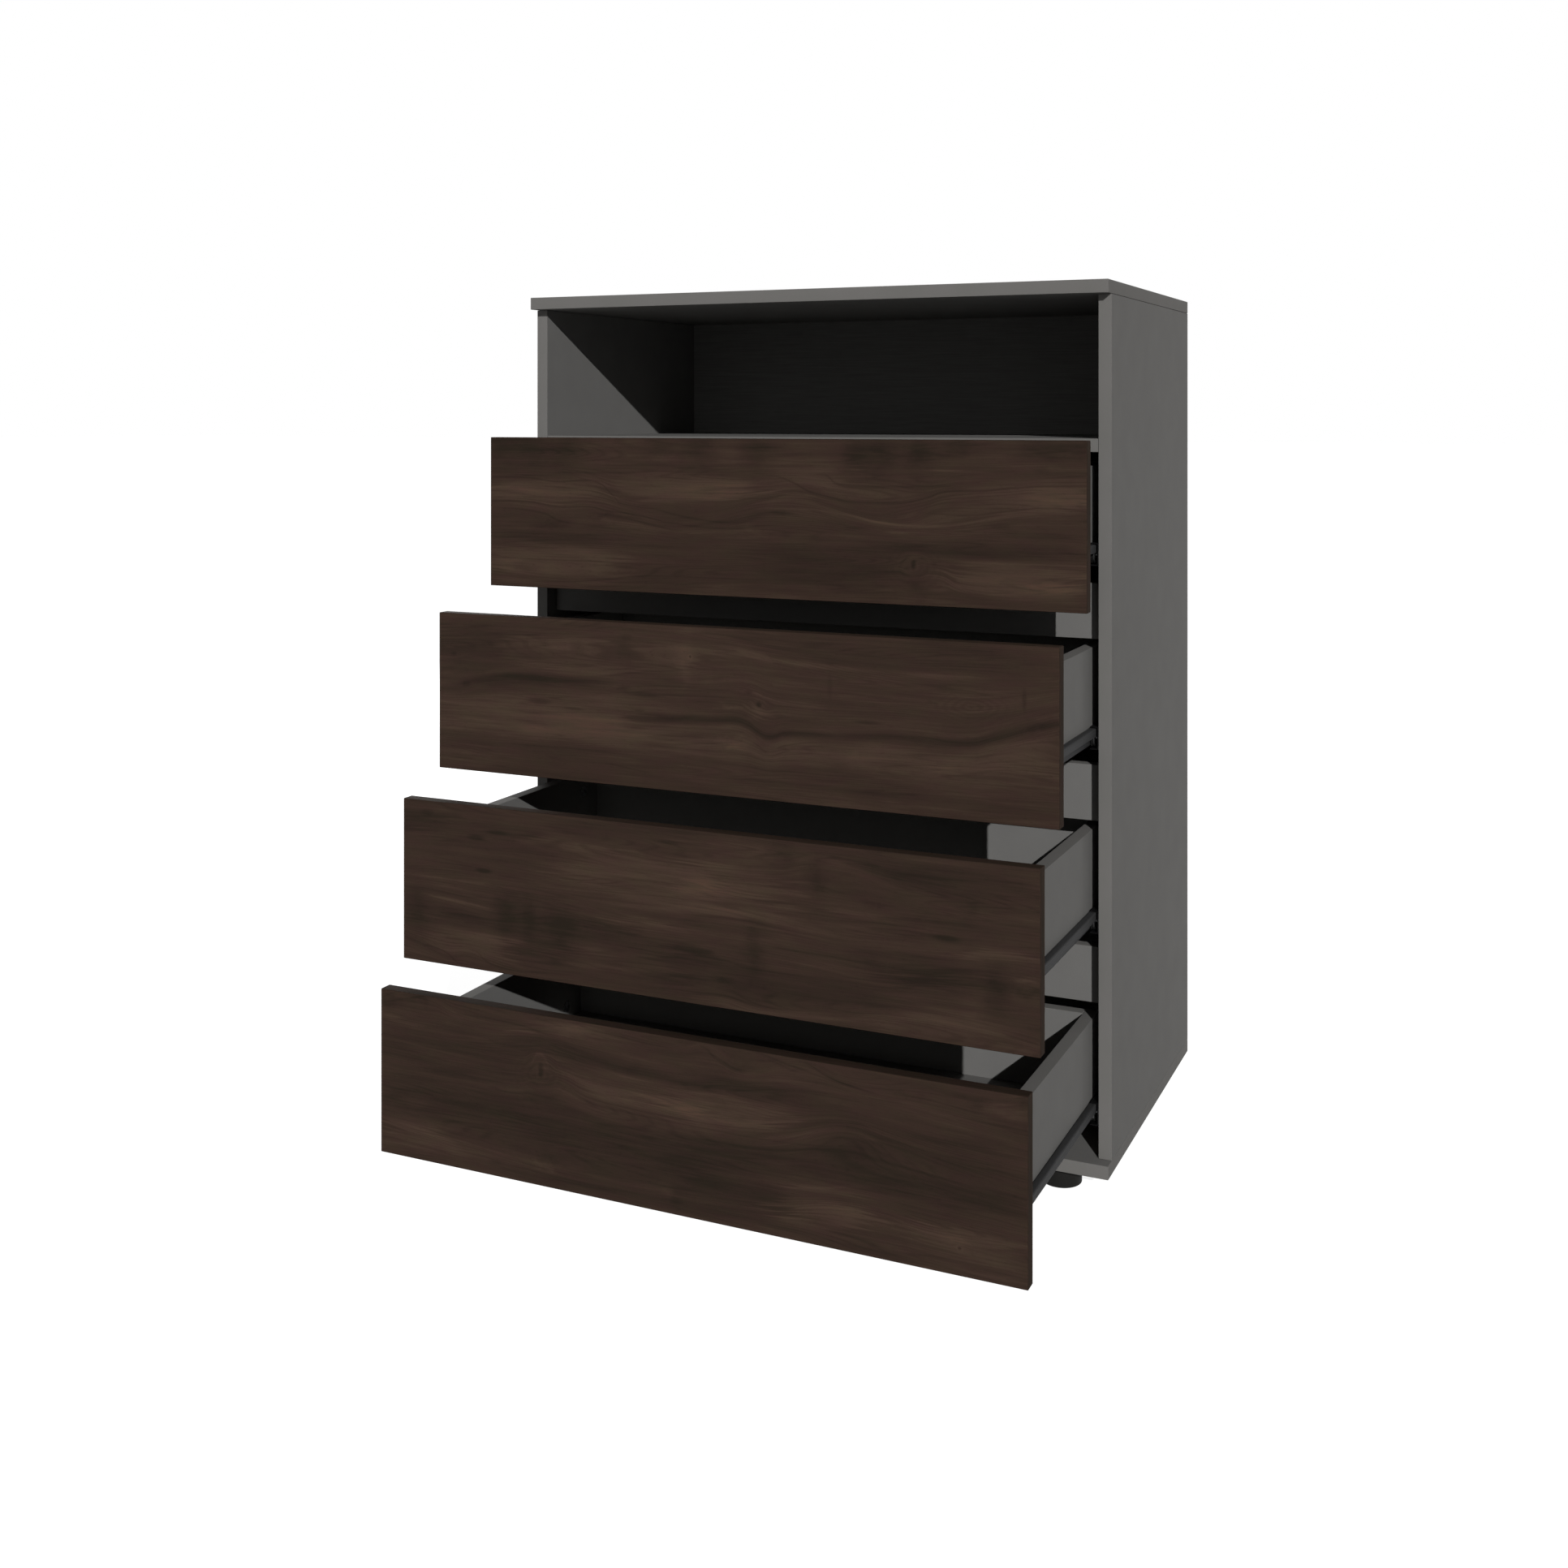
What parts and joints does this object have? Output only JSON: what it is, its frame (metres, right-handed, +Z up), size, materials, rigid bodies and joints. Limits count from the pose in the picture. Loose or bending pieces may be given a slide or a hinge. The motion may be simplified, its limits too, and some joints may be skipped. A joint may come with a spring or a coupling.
{
  "type": "chest of drawers",
  "caption": "Upright chest of handle-less overlay drawers on roller runners, with an open cubby above them, finger gaps between the fronts and round feet.",
  "frame": {"origin": "on the floor, midway across the chest, and midway between the front of the drawer that stands out furthest and the rear edges of the carcass, with the drawers pulled out as stored", "axes": "+Z up, the drawers open towards -Y, +X to the right as seen from the front"},
  "size_m": [0.788, 0.7738, 1.0713],
  "materials": {
    "grey_laminate": "satin melamine",
    "walnut_laminate": "satin wood-grain melamine",
    "grey_hardboard": "painted hardboard",
    "runner_steel": "dark powder coat",
    "roller_nylon": "moulded black nylon",
    "foot_plastic": "moulded black"
  },
  "bodies": {
    "carcass": {"top_panel": "grey_laminate", "bottom_panel": "grey_laminate", "left_side_panel": "grey_laminate", "right_side_panel": "grey_laminate", "cubby_shelf": "grey_laminate", "cross_rail_1": "grey_laminate", "cross_rail_2": "grey_laminate", "cross_rail_3": "grey_laminate", "back_panel": "grey_hardboard", "foot_front_left": "foot_plastic", "foot_front_right": "foot_plastic", "foot_rear_left": "foot_plastic", "foot_rear_right": "foot_plastic", "cabinet_runner_1_left": "runner_steel", "cabinet_runner_1_right": "runner_steel", "cabinet_runner_2_left": "runner_steel", "cabinet_runner_2_right": "runner_steel", "cabinet_runner_3_left": "runner_steel", "cabinet_runner_3_right": "runner_steel", "cabinet_runner_4_left": "runner_steel", "cabinet_runner_4_right": "runner_steel"},
    "drawer_1": {"drawer_1_front": "walnut_laminate", "drawer_1_left_side": "grey_laminate", "drawer_1_right_side": "grey_laminate", "drawer_1_back": "grey_laminate", "drawer_1_bottom": "grey_hardboard", "drawer_1_runner_left": "runner_steel", "drawer_1_runner_right": "runner_steel"},
    "drawer_2": {"drawer_2_front": "walnut_laminate", "drawer_2_left_side": "grey_laminate", "drawer_2_right_side": "grey_laminate", "drawer_2_back": "grey_laminate", "drawer_2_bottom": "grey_hardboard", "drawer_2_runner_left": "runner_steel", "drawer_2_runner_right": "runner_steel"},
    "drawer_3": {"drawer_3_front": "walnut_laminate", "drawer_3_left_side": "grey_laminate", "drawer_3_right_side": "grey_laminate", "drawer_3_back": "grey_laminate", "drawer_3_bottom": "grey_hardboard", "drawer_3_runner_left": "runner_steel", "drawer_3_runner_right": "runner_steel"},
    "drawer_4": {"drawer_4_front": "walnut_laminate", "drawer_4_left_side": "grey_laminate", "drawer_4_right_side": "grey_laminate", "drawer_4_back": "grey_laminate", "drawer_4_bottom": "grey_hardboard", "drawer_4_runner_left": "runner_steel", "drawer_4_runner_right": "runner_steel"},
    "roller_1_left": {"roller_1_left": "roller_nylon"},
    "roller_1_right": {"roller_1_right": "roller_nylon"},
    "roller_2_left": {"roller_2_left": "roller_nylon"},
    "roller_2_right": {"roller_2_right": "roller_nylon"},
    "roller_3_left": {"roller_3_left": "roller_nylon"},
    "roller_3_right": {"roller_3_right": "roller_nylon"},
    "roller_4_left": {"roller_4_left": "roller_nylon"},
    "roller_4_right": {"roller_4_right": "roller_nylon"}
  },
  "joints": [
    {"name": "drawer_1_slide", "type": "slide", "parent": "carcass", "child": "drawer_1", "axis": [0, -1, 0], "range_m": [-0.0948, 0.233]},
    {"name": "drawer_2_slide", "type": "slide", "parent": "carcass", "child": "drawer_2", "axis": [0, -1, 0], "range_m": [-0.2066, 0.1212]},
    {"name": "drawer_3_slide", "type": "slide", "parent": "carcass", "child": "drawer_3", "axis": [0, -1, 0], "range_m": [-0.2787, 0.0491]},
    {"name": "drawer_4_slide", "type": "slide", "parent": "carcass", "child": "drawer_4", "axis": [0, -1, 0], "range_m": [-0.3219, 0.0059]},
    {"name": "roller_1_left_spin", "type": "hinge", "parent": "carcass", "child": "roller_1_left", "pos_m": [-0.3677, -0.03625, 0.7488], "axis": [1, 0, 0], "range_deg": [-500, 1227]},
    {"name": "roller_1_right_spin", "type": "hinge", "parent": "carcass", "child": "roller_1_right", "pos_m": [0.3677, -0.03625, 0.7488], "axis": [1, 0, 0], "range_deg": [-500, 1227]},
    {"name": "roller_2_left_spin", "type": "hinge", "parent": "carcass", "child": "roller_2_left", "pos_m": [-0.3677, -0.03625, 0.5332], "axis": [1, 0, 0], "range_deg": [-1088, 640]},
    {"name": "roller_2_right_spin", "type": "hinge", "parent": "carcass", "child": "roller_2_right", "pos_m": [0.3677, -0.03625, 0.5332], "axis": [1, 0, 0], "range_deg": [-1088, 640]},
    {"name": "roller_3_left_spin", "type": "hinge", "parent": "carcass", "child": "roller_3_left", "pos_m": [-0.3677, -0.03625, 0.3176], "axis": [1, 0, 0], "range_deg": [-1467, 260]},
    {"name": "roller_3_right_spin", "type": "hinge", "parent": "carcass", "child": "roller_3_right", "pos_m": [0.3677, -0.03625, 0.3176], "axis": [1, 0, 0], "range_deg": [-1467, 260]},
    {"name": "roller_4_left_spin", "type": "hinge", "parent": "carcass", "child": "roller_4_left", "pos_m": [-0.3677, -0.03625, 0.0925], "axis": [1, 0, 0], "range_deg": [-1695, 33]},
    {"name": "roller_4_right_spin", "type": "hinge", "parent": "carcass", "child": "roller_4_right", "pos_m": [0.3677, -0.03625, 0.0925], "axis": [1, 0, 0], "range_deg": [-1695, 33]}
  ],
  "couplings": [
    {"joint": "roller_1_left_spin", "follows": "drawer_1_slide", "rad_per_m": 91.743},
    {"joint": "roller_1_right_spin", "follows": "drawer_1_slide", "rad_per_m": 91.743},
    {"joint": "roller_2_left_spin", "follows": "drawer_2_slide", "rad_per_m": 91.743},
    {"joint": "roller_2_right_spin", "follows": "drawer_2_slide", "rad_per_m": 91.743},
    {"joint": "roller_3_left_spin", "follows": "drawer_3_slide", "rad_per_m": 91.743},
    {"joint": "roller_3_right_spin", "follows": "drawer_3_slide", "rad_per_m": 91.743},
    {"joint": "roller_4_left_spin", "follows": "drawer_4_slide", "rad_per_m": 91.743},
    {"joint": "roller_4_right_spin", "follows": "drawer_4_slide", "rad_per_m": 91.743}
  ]
}
